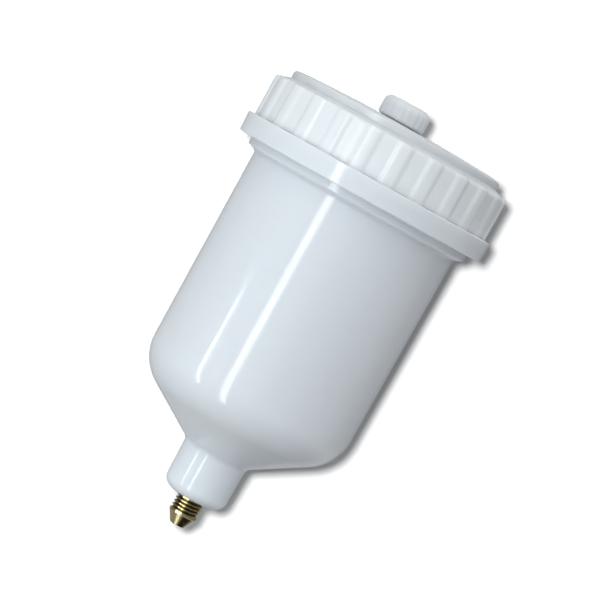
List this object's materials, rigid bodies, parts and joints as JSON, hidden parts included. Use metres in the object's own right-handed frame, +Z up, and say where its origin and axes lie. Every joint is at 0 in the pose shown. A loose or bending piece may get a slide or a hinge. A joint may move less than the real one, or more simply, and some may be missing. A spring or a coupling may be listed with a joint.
{
  "type": "spray gun paint cup",
  "caption": "Gravity-feed paint cup with a conical bottom, a threaded metal outlet, a ribbed screw lid and a screw-down vent cap.",
  "frame": {"origin": "on the outlet's axis, where the brass thread leaves the neck's bottom face", "axes": "+Z up the cup's axis towards the lid; -Z the way the thread screws into the gun; X and Y are square to it, and -Y faces the picture's camera"},
  "size_m": [0.11, 0.11, 0.1928],
  "materials": {
    "cup_plastic": "milky, glossy, slightly translucent",
    "lid_plastic": "milky, satin gloss",
    "cap_plastic": "satin white",
    "outlet_brass": "turned, bright",
    "seal_rubber": "soft, matt",
    "strainer_plastic": "natural white, satin",
    "strainer_mesh": "fine nylon weave"
  },
  "bodies": {
    "cup": {"cup_body": "cup_plastic", "outlet_connector": "outlet_brass", "strainer_frame": "strainer_plastic", "strainer_mesh": "strainer_mesh"},
    "gasket_ring": {"lid_gasket": "seal_rubber"},
    "screw_lid": {"lid": "lid_plastic"},
    "seal_disc": {"vent_seal": "seal_rubber"},
    "vent_knob": {"vent_cap": "cap_plastic"}
  },
  "joints": [
    {"name": "lid_lift", "type": "slide", "parent": "cup", "child": "gasket_ring", "axis": [0, 0, 1], "range_m": [0, 0.005]},
    {"name": "lid_turn", "type": "hinge", "parent": "gasket_ring", "child": "screw_lid", "pos_m": [0, 0, 0.161], "axis": [0, 0, 1], "range_deg": [0, 450]},
    {"name": "vent_lift", "type": "slide", "parent": "screw_lid", "child": "seal_disc", "axis": [0, 0, 1], "range_m": [0, 0.00187]},
    {"name": "vent_turn", "type": "hinge", "parent": "seal_disc", "child": "vent_knob", "pos_m": [0, 0, 0.175], "axis": [0, 0, 1], "range_deg": [0, 450]}
  ],
  "couplings": [
    {"joint": "lid_lift", "follows": "lid_turn", "m_per_rad": 0.0006366},
    {"joint": "vent_lift", "follows": "vent_turn", "m_per_rad": 0.0002387}
  ]
}
